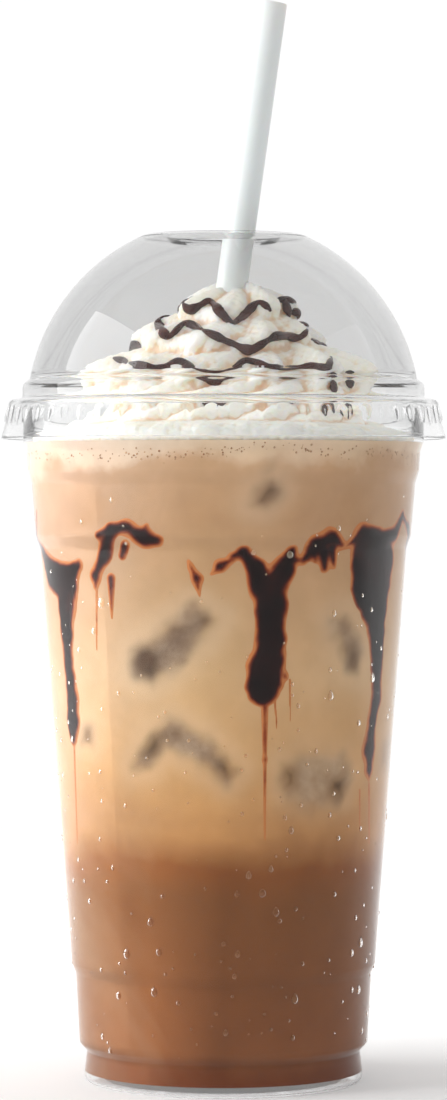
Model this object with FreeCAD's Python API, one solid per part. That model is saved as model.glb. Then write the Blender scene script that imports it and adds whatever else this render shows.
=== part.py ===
# Iced coffee in a clear cold-drink cup with a dome lid, a straw and piped whipped cream.
#
# The cup is a thin blown shell with a foot ring, stacking ledges and a rolled rim. Inside it the
# drink stands in three layers: a dark coffee base, a milky upper layer and a foam cap. A piped
# swirl of whipped cream stands on the foam. The dome lid snaps over the rolled rim and has a
# round straw hole in its flat top. The straw leans through the hole, the cream and the drink.
#
# Frame: millimetres, +Z up, origin at the centre of the ring that the cup stands on.
import FreeCAD, Part
import math
import os

V = FreeCAD.Vector

# ---------------------------------------------------------------- driving dimensions (mm)
# cup
CUP_WALL = 0.5             # wall thickness
FOOT_R = 33.54             # where the foot's side would meet the table
FOOT_EDGE = 1.6            # rounding of the foot's lower edge
FOOT_TOP_Z = 7.4           # where the foot's side ends
FOOT_NECK_R = 32.70
PUSH_UP = 2.0              # height of the raised middle of the base
PUSH_UP_R = 25.5
RING_IN_R = 28.0           # inner edge of the ring that the cup stands on
BELLY_Z, BELLY_R = 9.3, 34.50      # shoulder above the foot
LEDGE_LOW = (26.0, 35.47, 28.3, 36.42)     # z, r below; z, r above
LEDGE_MID = (127.3, 43.78, 130.4, 44.86)
LEDGE_TOP = (142.6, 45.83, 145.7, 46.78)
FLARE = (150.2, 47.05, 152.7, 47.90)
RIM_BEAD_R = 0.8           # tube radius of the rolled rim
RIM_OUT_R = 49.0           # half of the 98 mm rim
RIM_TOP_Z = 162.45

# lid
LID_WALL = 0.4
SKIRT_OUT_R, SKIRT_LOW_Z = 53.1, 153.6
SKIRT_KNEE_R, SKIRT_KNEE_Z = 52.25, 156.9
SHOULDER_R, SHOULDER_Z = 51.2, 162.9
SHOULDER_ROUND = 1.9
COLLAR_R, COLLAR_TOP_Z = 48.1, 166.5
COLLAR_ROUND = 1.7
DOME_FOOT_Z = 167.6
DOME_R, DOME_CENTRE_Z = 47.1, 159.0
DOME_TOP_Z = 202.0
HOLE_LIP_R = 13.5          # where the flat top turns down into the straw hole
HOLE_R, HOLE_LOW_Z = 12.5, 200.6
RIB_COUNT = 60             # grip ribs on the skirt
RIB_TOP_Z, RIB_LOW_Z = 160.9, 157.2
RIB_WIDTH, RIB_HEIGHT = 1.8, 0.45

# straw
STRAW_R, STRAW_WALL = 3.75, 0.35
STRAW_X_AT_LID, STRAW_LEAN = 3.7, 0.14     # x at the dome's top, and x per z
STRAW_LOW_Z, STRAW_TOP_Z = 4.8, 257.6      # centres of the two ends

# contents
COFFEE_TOP_Z = 56.7
LATTE_TOP_Z = 148.0
FOAM_TOP_Z = 152.5

# whipped cream
CREAM_TOP_Z = 190.8
CREAM_ENVELOPE = ((152.5, 45.4), (156.5, 42.0), (161.0, 38.0), (167.5, 33.0),
                  (174.7, 27.4), (179.4, 21.6), (184.0, 17.4), (188.0, 14.2), (190.8, 9.0))
CREAM_CENTRE_X = 1.8       # the top of the swirl sits a little to one side
COIL_PITCH = 10.4
COIL_DEPTH = 2.9
RIDGES = 11
RIDGE_DEPTH = 1.15
RIDGE_TWIST = 0.075        # radians of turn for each mm of height
CREAM_AROUND, CREAM_UP = 112, 36


# ---------------------------------------------------------------- helpers
def offset_path(points, d):
    """The same corners moved d to the left of the path, each (r, z, rounding)."""
    out = []
    n = len(points)
    dirs = []
    for a, b in zip(points, points[1:]):
        l = math.hypot(b[0] - a[0], b[1] - a[1])
        dirs.append(((b[0] - a[0]) / l, (b[1] - a[1]) / l))
    for i, (r, z, f) in enumerate(points):
        if i == 0 or i == n - 1:
            u = dirs[0] if i == 0 else dirs[-1]
            out.append((r - u[1] * d, z + u[0] * d, f))
            continue
        u, w = dirs[i - 1], dirs[i]
        cross = u[0] * w[1] - u[1] * w[0]
        k = d / (1 + u[0] * w[0] + u[1] * w[1])
        out.append((r - (u[1] + w[1]) * k, z + (u[0] + w[0]) * k,
                    max(0.05, f - d if cross > 0 else f + d)))
    return out


def rounded(points):
    """Edges along the corners, each rounded by its own radius, in the XZ plane."""
    edges, last = [], None
    n = len(points)
    for i, (r, z, f) in enumerate(points):
        p = V(r, 0, z)
        if i == 0:
            last = p
            continue
        if i == n - 1:
            edges.append(Part.LineSegment(last, p).toShape())
            break
        a, b = V(*(points[i - 1][0], 0, points[i - 1][1])), V(*(points[i + 1][0], 0, points[i + 1][1]))
        u, w = (a - p).normalize(), (b - p).normalize()
        half = math.acos(max(-1, min(1, u.dot(w)))) / 2
        t = f / math.tan(half)
        s, e = p + u * t, p + w * t
        mid_dir = (u + w).normalize()
        centre = p + mid_dir * (f / math.sin(half))
        m = centre - mid_dir * f
        edges.append(Part.LineSegment(last, s).toShape())
        edges.append(Part.Arc(s, m, e).toShape())
        last = e
    return edges


def spin(edges):
    """A closed profile turned once about +Z."""
    wire = Part.Wire(Part.__sortEdges__(edges))
    solid = Part.Face(wire).revolve(V(0, 0, 0), V(0, 0, 1), 360)
    if solid.ShapeType != "Solid":
        solid = solid.Solids[0]
    if solid.Volume < 0:
        solid.reverse()
    return solid


def line(r0, z0, r1, z1):
    return Part.LineSegment(V(r0, 0, z0), V(r1, 0, z1)).toShape()


def end_of(edges):
    return edges[-1].Vertexes[-1].Point


def circle_at(radius, z):
    return math.sqrt(radius * radius - (z - DOME_CENTRE_Z) ** 2)


def save(name, shape):
    if shape.ShapeType == "Compound" and len(shape.Solids) == 1:
        shape = shape.Solids[0]
    assert shape.isValid(), name
    box = shape.BoundBox
    print("%-14s solids %d  volume %8.1f cm3  z %.1f..%.1f  x %.1f..%.1f" % (
        name, len(shape.Solids), shape.Volume / 1000, box.ZMin, box.ZMax, box.XMin, box.XMax))
    shape.exportStep("parts/%s.step" % name)


# ---------------------------------------------------------------- cup
BEAD_R, BEAD_Z = RIM_OUT_R - RIM_BEAD_R, RIM_TOP_Z - RIM_BEAD_R
NECK_R = BEAD_R - RIM_BEAD_R + CUP_WALL      # outer wall radius where it meets the bead
cup_path = [
    (0.0, PUSH_UP, 0),
    (PUSH_UP_R, PUSH_UP, 1.2),
    (RING_IN_R, 0.0, 0.9),
    (FOOT_R, 0.0, FOOT_EDGE),
    (FOOT_NECK_R, FOOT_TOP_Z, 0.8),
    (BELLY_R, BELLY_Z, 1.4),
    (LEDGE_LOW[1], LEDGE_LOW[0], 0.9),
    (LEDGE_LOW[3], LEDGE_LOW[2], 0.9),
    (LEDGE_MID[1], LEDGE_MID[0], 0.9),
    (LEDGE_MID[3], LEDGE_MID[2], 0.9),
    (LEDGE_TOP[1], LEDGE_TOP[0], 0.9),
    (LEDGE_TOP[3], LEDGE_TOP[2], 0.9),
    (FLARE[1], FLARE[0], 2.0),
    (FLARE[3], FLARE[2], 2.0),
    (NECK_R, BEAD_Z, 0),
]
inner_path = offset_path(cup_path, CUP_WALL)
outer_edges, inner_edges = rounded(cup_path), rounded(inner_path)
cup = spin(outer_edges + inner_edges + [
    line(cup_path[0][0], cup_path[0][1], inner_path[0][0], inner_path[0][1]),
    line(cup_path[-1][0], cup_path[-1][1], inner_path[-1][0], inner_path[-1][1]),
])
bead = Part.makeTorus(BEAD_R, RIM_BEAD_R, V(0, 0, BEAD_Z), V(0, 0, 1))
cup = cup.fuse(bead).removeSplitter()

# ---------------------------------------------------------------- lid
low_path = [
    (SKIRT_OUT_R, SKIRT_LOW_Z, 0),
    (SKIRT_KNEE_R, SKIRT_KNEE_Z, 2.0),
    (SHOULDER_R, SHOULDER_Z, SHOULDER_ROUND),
    (COLLAR_R, SHOULDER_Z, 0.7),
    (COLLAR_R - 0.1, COLLAR_TOP_Z, COLLAR_ROUND),
    (circle_at(DOME_R, DOME_FOOT_Z), DOME_FOOT_Z, 0),
]
low_in = offset_path(low_path, LID_WALL)
# the inner skin's last point is moved along its own line onto the dome's inner sphere
in_r = DOME_R - LID_WALL
ax, az = low_in[-2][0], low_in[-2][1]
bx, bz = low_in[-1][0], low_in[-1][1]
dx, dz = bx - ax, bz - az - 0.0
oz = az - DOME_CENTRE_Z
qa, qb, qc = dx * dx + dz * dz, 2 * (ax * dx + oz * dz), ax * ax + oz * oz - in_r * in_r
t_hit = (-qb - math.sqrt(qb * qb - 4 * qa * qc)) / (2 * qa)
if t_hit < 0.2:
    t_hit = (-qb + math.sqrt(qb * qb - 4 * qa * qc)) / (2 * qa)
low_in[-1] = (ax + dx * t_hit, az + dz * t_hit, 0)


def dome_arc(radius, r0, z0, z1):
    a0 = math.atan2(z0 - DOME_CENTRE_Z, r0)
    a1 = math.asin((z1 - DOME_CENTRE_Z) / radius)
    am = (a0 + a1) / 2
    pt = lambda a: V(radius * math.cos(a), 0, DOME_CENTRE_Z + radius * math.sin(a))
    return Part.Arc(V(r0, 0, z0), pt(am), V(circle_at(radius, z1), 0, z1)).toShape()


top_path = [
    (circle_at(DOME_R, DOME_TOP_Z), DOME_TOP_Z, 0),
    (HOLE_LIP_R, DOME_TOP_Z, 0.8),
    (HOLE_R, HOLE_LOW_Z, 0),
]
top_in = offset_path(top_path, LID_WALL)
top_in[0] = (circle_at(in_r, DOME_TOP_Z - LID_WALL), DOME_TOP_Z - LID_WALL, 0)
lid_edges = (
    rounded(low_path)
    + [dome_arc(DOME_R, low_path[-1][0], low_path[-1][1], DOME_TOP_Z)]
    + rounded(top_path)
    + [line(top_path[-1][0], top_path[-1][1], top_in[-1][0], top_in[-1][1])]
    + rounded(top_in)
    + [dome_arc(in_r, low_in[-1][0], low_in[-1][1], DOME_TOP_Z - LID_WALL)]
    + rounded(low_in)
    + [line(low_in[0][0], low_in[0][1], low_path[0][0], low_path[0][1])]
)
lid = spin(lid_edges)


def skirt_r(z):
    """Outer radius of the skirt's straight side."""
    k = (z - SKIRT_KNEE_Z) / (SHOULDER_Z - SKIRT_KNEE_Z)
    return SKIRT_KNEE_R + (SHOULDER_R - SKIRT_KNEE_R) * k


def rib():
    """One grip rib: a wedge that is widest at its top and runs out to a point below."""
    top, low = skirt_r(RIB_TOP_Z), skirt_r(RIB_LOW_Z)
    root = -0.2            # how far it is let into the skirt, less than the wall
    a = V(top + root, -RIB_WIDTH / 2, RIB_TOP_Z)
    b = V(top + root, RIB_WIDTH / 2, RIB_TOP_Z)
    c = V(top + RIB_HEIGHT, 0, RIB_TOP_Z - 0.15)
    d = V(low + root, 0, RIB_LOW_Z)
    faces = [Part.Face(Part.makePolygon(p + [p[0]])) for p in ([a, b, c], [a, d, b], [a, c, d], [b, d, c])]
    s = Part.makeSolid(Part.makeShell(faces))
    if s.Volume < 0:
        s.reverse()
    return s


one = rib()
ribs = []
for i in range(RIB_COUNT):
    r = one.copy()
    r.rotate(V(0, 0, 0), V(0, 0, 1), 360.0 * (i + 0.5) / RIB_COUNT)
    ribs.append(r)
lid = lid.fuse(ribs)

# ---------------------------------------------------------------- straw
axis = V(STRAW_LEAN, 0, 1).normalize()
low = V(STRAW_X_AT_LID + STRAW_LEAN * (STRAW_LOW_Z - DOME_TOP_Z), 0, STRAW_LOW_Z)
length = (STRAW_TOP_Z - STRAW_LOW_Z) / axis.z
straw_body = Part.makeCylinder(STRAW_R, length, low, axis)
straw = straw_body.cut(Part.makeCylinder(STRAW_R - STRAW_WALL, length + 2, low - axis, axis))
print("straw length %.1f mm" % length)

# ---------------------------------------------------------------- drink layers
def inside(z0, z1):
    """What fills the cup between two heights."""
    cavity = rounded(inner_path) + [
        line(inner_path[-1][0], inner_path[-1][1], 0, inner_path[-1][1]),
        line(0, inner_path[-1][1], inner_path[0][0], inner_path[0][1]),
    ]
    body = spin(cavity)
    slab = Part.makeCylinder(80, z1 - z0, V(0, 0, z0))
    return body.common(slab)


coffee = inside(-1.0, COFFEE_TOP_Z).cut(straw_body)
latte = inside(COFFEE_TOP_Z, LATTE_TOP_Z).cut(straw_body)
foam = inside(LATTE_TOP_Z, FOAM_TOP_Z).cut(straw_body)


# ---------------------------------------------------------------- whipped cream
def envelope(z):
    for (za, ra), (zb, rb) in zip(CREAM_ENVELOPE, CREAM_ENVELOPE[1:]):
        if z <= zb:
            k = (z - za) / (zb - za)
            return ra + (rb - ra) * k
    return CREAM_ENVELOPE[-1][1]


def cream_r(theta, z):
    """Radius of the piped swirl: coils climbing round the axis, crossed by slanting star ridges."""
    turn = (z - FOAM_TOP_Z) / COIL_PITCH - theta / (2 * math.pi)
    f = turn - math.floor(turn)
    coil = math.sqrt(max(0.0, 1 - (2 * f - 1) ** 2))          # 0 in the groove, 1 on the crown
    ridge = math.cos(RIDGES * (theta + RIDGE_TWIST * (z - FOAM_TOP_Z)))
    k = min(1.0, (z - FOAM_TOP_Z) / 4.0)                        # calm where it meets the foam
    size = envelope(z)
    return size - k * COIL_DEPTH * (1 - coil) * min(1.0, size / 20) + k * RIDGE_DEPTH * ridge * min(1.0, size / 18)


rows = []
for j in range(CREAM_UP + 1):
    z = FOAM_TOP_Z + (CREAM_TOP_Z - FOAM_TOP_Z) * j / CREAM_UP
    shift = CREAM_CENTRE_X * max(0.0, (z - SHOULDER_Z) / (CREAM_TOP_Z - SHOULDER_Z))
    row = []
    for i in range(CREAM_AROUND):
        th = 2 * math.pi * i / CREAM_AROUND
        r = min(cream_r(th, z), CREAM_ENVELOPE[0][1] + 0.2)
        row.append(V(round(r * math.cos(th) + shift, 4), round(r * math.sin(th), 4), round(z, 4)))
    rows.append(row)
faces = []


def tri(a, b, c):
    faces.append(Part.Face(Part.makePolygon([a, b, c, a])))


for j in range(CREAM_UP):
    for i in range(CREAM_AROUND):
        a, b = rows[j][i], rows[j][(i + 1) % CREAM_AROUND]
        c, d = rows[j + 1][(i + 1) % CREAM_AROUND], rows[j + 1][i]
        tri(a, b, c)
        tri(a, c, d)
peak = V(CREAM_CENTRE_X, 0, CREAM_TOP_Z + 0.3)
for i in range(CREAM_AROUND):
    tri(rows[-1][i], rows[-1][(i + 1) % CREAM_AROUND], peak)
base = Part.Face(Part.makePolygon([rows[0][i] for i in range(CREAM_AROUND)] + [rows[0][0]]))
faces.append(base)
shell = Part.makeShell(faces)
cream = Part.makeSolid(shell)
if cream.Volume < 0:
    cream.reverse()
print("cream facets", len(faces))
cream = cream.cut(straw_body)

# ---------------------------------------------------------------- write
os.makedirs("parts", exist_ok=True)
save("cup", cup)
save("lid", lid)
save("straw", straw)
save("coffee_base", coffee)
save("latte", latte)
save("milk_foam", foam)
save("whipped_cream", cream)
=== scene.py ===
import math
import bpy
import numpy as np
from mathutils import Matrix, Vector
from mathutils.bvhtree import BVHTree


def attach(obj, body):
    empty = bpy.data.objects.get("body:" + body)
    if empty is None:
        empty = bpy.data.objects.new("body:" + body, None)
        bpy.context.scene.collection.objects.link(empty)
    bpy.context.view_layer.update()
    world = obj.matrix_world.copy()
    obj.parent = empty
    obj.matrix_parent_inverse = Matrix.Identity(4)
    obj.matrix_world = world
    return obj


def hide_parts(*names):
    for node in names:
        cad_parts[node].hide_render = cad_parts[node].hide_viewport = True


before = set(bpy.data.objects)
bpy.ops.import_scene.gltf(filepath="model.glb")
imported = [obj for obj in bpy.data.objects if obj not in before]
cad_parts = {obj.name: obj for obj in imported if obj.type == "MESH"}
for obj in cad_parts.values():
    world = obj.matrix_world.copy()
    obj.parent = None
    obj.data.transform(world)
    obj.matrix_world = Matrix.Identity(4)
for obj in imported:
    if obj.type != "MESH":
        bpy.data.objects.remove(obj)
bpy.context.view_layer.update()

RNG = np.random.default_rng(7)
MM = 0.001

# ------------------------------------------------------------------ sizes, all in mm
CUP_WALL, LID_WALL = 0.5, 0.4
CUP_PATH = [  # radius, height, rounding
    (0.0, 2.0, 0), (25.5, 2.0, 1.2), (28.0, 0.0, 0.9), (33.54, 0.0, 1.6), (32.70, 7.4, 0.8),
    (34.50, 9.3, 1.4), (35.47, 26.0, 0.9), (36.42, 28.3, 0.9), (43.78, 127.3, 0.9),
    (44.86, 130.4, 0.9), (45.83, 142.6, 0.9), (46.78, 145.7, 0.9), (47.05, 150.2, 2.0),
    (47.90, 152.7, 2.0), (47.90, 161.65, 0)]
BEAD_R, BEAD_Z, BEAD_T = 48.2, 161.65, 0.8
DOME_R, DOME_Z, DOME_TOP = 47.1, 159.0, 202.0
RIB_COUNT, RIB_TOP, RIB_LOW, RIB_H = 60, 161.0, 156.9, 0.30
STRAW_R, STRAW_WALL, STRAW_X, STRAW_LEAN = 3.75, 0.35, 3.7, 0.14
STRAW_LOW, STRAW_HIGH = 4.8, 257.6
COFFEE_TOP, LATTE_TOP, FOAM_TOP = 56.7, 148.0, 152.5
INTO_WALL = 0.15

# strokes of syrup on the inner wall: x, z, half width, as they are seen from the front
DRIP_A = [
    [(-44.2, 135.9, 0.48), (-43.7, 128.0, 0.96)],
    [(-43.3, 128.0, 0.96), (-40.9, 121.6, 2.15), (-37.5, 118.7, 2.87)],
    [(-37.5, 119.2, 2.87), (-34.4, 123.0, 1.2)],
    [(-37.5, 118.7, 2.87), (-37.3, 112.5, 2.15), (-37.2, 106.7, 1.67), (-36.8, 100.5, 1.32), (-35.8, 90.9, 1.56), (-35.7, 85.7, 1.79), (-35.7, 81.8, 0.96)],
]
THIN_A = [
    [(-35.4, 80.2, 0.29), (-34.6, 56.5, 0.19)],
]
DRIP_B = [
    [(-29.9, 130.4, 0.72), (-26.7, 131.6, 1.2), (-22.7, 132.3, 1.44), (-19.1, 129.7, 1.91), (-16.0, 129.2, 1.2)],
    [(-19.1, 130.2, 1.2), (-18.4, 132.8, 0.36)],
    [(-26.7, 131.6, 1.44), (-28.4, 125.6, 1.67), (-30.3, 120.6, 1.2), (-30.3, 118.2, 0.48)],
    [(-23.4, 128.0, 0.96), (-24.1, 125.4, 0.96)],
]
THIN_B = [
    [(-30.1, 117.7, 0.33), (-30.1, 102.9, 0.19)],
    [(-26.7, 120.1, 0.96), (-26.5, 110.5, 0.24)],
]
DRIP_C = [
    [(-8.4, 124.2, 0.24), (-6.4, 120.1, 1.08), (-5.7, 115.6, 0.29)],
    [(-2.8, 121.1, 0.36), (-0.9, 123.0, 1.2), (1.7, 124.4, 0.72)],
]
DRIP_D = [
    [(2.2, 125.4, 0.96), (4.6, 126.3, 1.2), (7.9, 122.0, 1.91)],
    [(16.3, 126.3, 1.44), (14.2, 122.0, 2.63), (10.8, 117.2, 3.11)],
    [(18.5, 124.4, 0.72), (16.3, 124.4, 1.44)],
    [(7.9, 122.5, 2.15), (9.4, 118.4, 3.11), (11.3, 113.7, 3.23), (11.3, 105.3, 3.23), (10.3, 99.3, 3.59), (9.4, 93.3, 3.59), (9.4, 91.4, 1.91)],
    [(10.3, 98.1, 3.83), (12.7, 94.8, 1.44)],
    [(14.6, 96.9, 0.72), (14.6, 96.4, 0.72)],
]
THIN_D = [
    [(9.8, 91.4, 0.84), (9.8, 76.6, 0.43), (9.8, 57.4, 0.24)],
    [(12.2, 90.7, 0.29), (12.7, 84.0, 0.19)],
    [(15.8, 95.7, 0.29), (15.8, 85.9, 0.17)],
]
DRIP_E = [
    [(18.9, 124.4, 0.96), (22.3, 128.0, 2.15), (25.6, 129.7, 1.91), (28.0, 128.0, 1.2)],
    [(21.3, 126.8, 1.91), (21.8, 124.4, 0.72)],
    [(23.7, 126.3, 2.15), (24.0, 122.5, 0.96)],
    [(25.6, 127.3, 1.67), (26.1, 123.0, 0.6)],
]
DRIP_F = [
    [(29.2, 127.8, 0.72), (33.1, 130.6, 1.91), (36.9, 129.2, 1.67), (40.5, 130.2, 1.2)],
    [(40.5, 130.2, 1.2), (42.4, 135.4, 0.6)],
    [(42.4, 135.0, 0.48), (43.8, 131.6, 0.84), (43.3, 124.4, 0.48), (43.1, 115.3, 0.24)],
    [(33.1, 129.2, 2.39), (34.7, 124.4, 4.31), (35.7, 119.6, 5.02), (36.2, 113.7, 3.35), (36.4, 107.7, 2.15), (36.4, 99.3, 1.56), (36.3, 91.2, 1.32)],
    [(35.7, 120.8, 4.31), (38.1, 124.4, 2.87)],
    [(36.3, 91.2, 1.32), (35.2, 85.9, 1.12), (34.5, 79.0, 1.82), (34.5, 74.2, 1.2), (34.5, 71.6, 0.36)],
]
THIN_F = [
    [(34.5, 70.6, 0.33), (34.5, 54.1, 0.19)],
    [(32.3, 69.4, 0.24), (32.3, 60.3, 0.17)],
]
ICE = [
    (-11.2, 105.3, 11.0, 3.6, 38, 1.0),
    (-16.9, 80.4, 6.2, 2.2, 48, 0.9),
    (-4.5, 79.0, 9.1, 2.4, -39, 1.0),
    (21.6, 71.6, 8.1, 6.0, -2, 0.62),
    (16.1, 72.5, 2.2, 1.9, 0, 0.9),
    (26.6, 70.8, 2.2, 2.2, 0, 0.95),
    (29.5, 103.9, 7.2, 2.4, -70, 0.8),
    (9.6, 140.0, 3.3, 2.2, 60, 0.9),
    (11.3, 147.2, 1.9, 1.0, 60, 0.35),
    (-32.5, 82.6, 1.4, 2.2, 0, 0.7),
    (38.3, 78.3, 1.2, 4.1, 0, 0.35),
]
ICE_POLY = [
    ([(-21.2, 102.9), (-6.4, 113.9), (-1.1, 110.5), (-4.5, 105.3), (-16.9, 94.3), (-20.5, 96.7)], 1.0),
    ([(-21.7, 74.7), (-17.4, 83.3), (-12.6, 86.1), (-4.0, 81.8), (3.6, 74.2), (0.8, 71.3), (-8.8, 77.1), (-13.6, 79.4), (-17.4, 74.7)], 0.95),
    ([(13.7, 75.6), (18.5, 78.5), (28.5, 77.5), (30.4, 71.8), (28.0, 66.1), (21.3, 64.1), (14.6, 68.0)], 0.62),
    ([(13.9, 75.6), (17.8, 74.2), (17.5, 69.4), (14.4, 69.4)], 0.95),
    ([(24.2, 73.7), (29.5, 72.7), (28.3, 67.0), (24.7, 68.0)], 0.95),
    ([(25.9, 110.1), (29.0, 111.5), (32.6, 102.9), (32.3, 96.7), (29.0, 98.1)], 0.8),
    ([(7.0, 137.3), (8.4, 141.2), (11.8, 144.0), (13.2, 141.2), (9.9, 136.9)], 0.95),
    ([(10.3, 145.0), (11.3, 148.8), (12.7, 148.8), (12.2, 145.5)], 0.4),
    ([(-33.7, 80.9), (-33.2, 84.2), (-31.3, 84.2), (-31.5, 80.4)], 0.7),
    ([(36.7, 74.2), (37.4, 81.8), (39.5, 82.3), (39.5, 74.7)], 0.4),
]
ICE_DARK = [
    (-18.4, 100.0, 3.83, 4.31),
    (-3.5, 109.6, 2.15, 1.91),
    (1.7, 74.2, 3.11, 2.87),
    (-17.4, 80.9, 2.39, 3.35),
    (15.1, 72.3, 2.15, 3.35),
    (26.8, 69.4, 2.63, 2.87),
    (30.9, 100.0, 1.91, 3.35),
    (9.4, 140.2, 2.87, 2.87),
    (-32.2, 82.3, 1.67, 2.15),
    (31.9, 143.1, 1.44, 2.39),
]
DRIZZLE = [
    [(-9.3, 189.5), (-11.0, 188.5), (-8.6, 183.8), (-6.7, 184.5), (-3.3, 186.9), (2.0, 180.4), (8.7, 186.6), (11.3, 184.0)],
    [(14.6, 186.9), (15.6, 182.6)],
    [(-17.7, 183.3), (-13.8, 177.8), (-12.9, 177.3), (-9.5, 181.4), (-5.0, 179.4)],
    [(-5.0, 179.4), (3.2, 175.6), (6.3, 174.2), (12.7, 178.3), (17.0, 177.5), (18.7, 177.3), (20.4, 179.9), (18.9, 181.6)],
    [(-26.3, 172.7), (-21.0, 171.1), (-15.0, 170.1), (-10.5, 172.3), (-1.9, 166.8), (5.3, 172.3), (9.1, 171.3), (14.4, 169.6), (18.9, 170.6), (22.1, 171.1), (24.9, 169.4), (25.9, 173.9)],
    [(25.9, 168.0), (26.4, 164.1)],
    [(30.2, 169.4), (30.2, 165.6)],
]
BIG_DROPS = [
    (-17.4, 37.6, 0.77),
    (-16.5, 20.8, 0.86),
    (17.0, 19.2, 0.86),
    (0.5, 11.0, 0.57),
    (12.5, 40.0, 0.81),
    (3.4, 29.9, 0.62),
    (3.2, 44.3, 0.57),
    (6.0, 48.8, 0.67),
    (11.3, 50.3, 0.62),
    (-25.8, 7.0, 0.62),
    (25.6, 91.9, 0.81),
    (16.1, 59.6, 0.67),
]


# ------------------------------------------------------------------ geometry helpers
def new_mesh(name, verts, faces, smooth=True, mat=None):
    me = bpy.data.meshes.new(name)
    verts = np.asarray(verts, float) * MM
    me.from_pydata(verts.tolist(), [], [list(map(int, f)) for f in faces])
    me.validate()
    me.update()
    if smooth:
        me.polygons.foreach_set("use_smooth", [True] * len(me.polygons))
    ob = bpy.data.objects.new(name, me)
    bpy.context.scene.collection.objects.link(ob)
    if mat:
        me.materials.append(mat)
    return ob


def round_path(pts, step=0.35):
    """Corner list to a dense open line with the corners rounded."""
    out = [np.array(pts[0][:2], float)]
    for i in range(1, len(pts) - 1):
        p = np.array(pts[i][:2], float)
        a, b = np.array(pts[i - 1][:2], float) - p, np.array(pts[i + 1][:2], float) - p
        ua, ub = a / np.linalg.norm(a), b / np.linalg.norm(b)
        half = math.acos(max(-1, min(1, float(ua @ ub)))) / 2
        f = pts[i][2]
        t = min(f / math.tan(half), 0.48 * np.linalg.norm(a), 0.48 * np.linalg.norm(b))
        f = t * math.tan(half)
        m = (ua + ub) / np.linalg.norm(ua + ub)
        c = p + m * (f / math.sin(half))
        s, e = p + ua * t, p + ub * t
        a0 = math.atan2(*(s - c)[::-1])
        a1 = math.atan2(*(e - c)[::-1])
        d = (a1 - a0 + math.pi) % (2 * math.pi) - math.pi
        n = max(3, int(abs(d) / 0.22))
        for k in range(n + 1):
            an = a0 + d * k / n
            out.append(c + f * np.array([math.cos(an), math.sin(an)]))
    out.append(np.array(pts[-1][:2], float))
    return np.array(out)


def shift_path(pts, d):
    out = []
    dirs = [np.array(b[:2], float) - np.array(a[:2], float) for a, b in zip(pts, pts[1:])]
    dirs = [v / np.linalg.norm(v) for v in dirs]
    for i, (r, z, f) in enumerate(pts):
        if i in (0, len(pts) - 1):
            u = dirs[0] if i == 0 else dirs[-1]
            out.append((r - u[1] * d, z + u[0] * d, f))
            continue
        u, w = dirs[i - 1], dirs[i]
        k = d / (1 + float(u @ w))
        cross = u[0] * w[1] - u[1] * w[0]
        out.append((r - (u[1] + w[1]) * k, z + (u[0] + w[0]) * k, max(0.05, f - d if cross > 0 else f + d)))
    return out


def spin(name, line, segs, mat, closed=False, bump=None):
    """Turns a line of (r, z) about Z. Points with r=0 become one vertex."""
    verts, rings = [], []
    for k, (r, z) in enumerate(line):
        if r < 1e-6:
            rings.append([len(verts)] * segs)
            verts.append((0, 0, z))
            continue
        ids = []
        for i in range(segs):
            th = 2 * math.pi * i / segs
            rr = r + (bump(k, r, z, th) if bump else 0.0)
            ids.append(len(verts))
            verts.append((rr * math.cos(th), rr * math.sin(th), z))
        rings.append(ids)
    faces = []
    pairs = list(zip(rings, rings[1:])) + ([(rings[-1], rings[0])] if closed else [])
    for a, b in pairs:
        for i in range(segs):
            j = (i + 1) % segs
            f = []
            for v in (a[i], a[j], b[j], b[i]):
                if v not in f:
                    f.append(v)
            if len(f) > 2:
                faces.append(f)
    return new_mesh(name, verts, faces, mat=mat)


# ------------------------------------------------------------------ material helpers
def lin(r, g, b):
    f = lambda c: (c / 255 / 12.92) if c / 255 <= 0.04045 else ((c / 255 + 0.055) / 1.055) ** 2.4
    return (f(r), f(g), f(b), 1.0)


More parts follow.
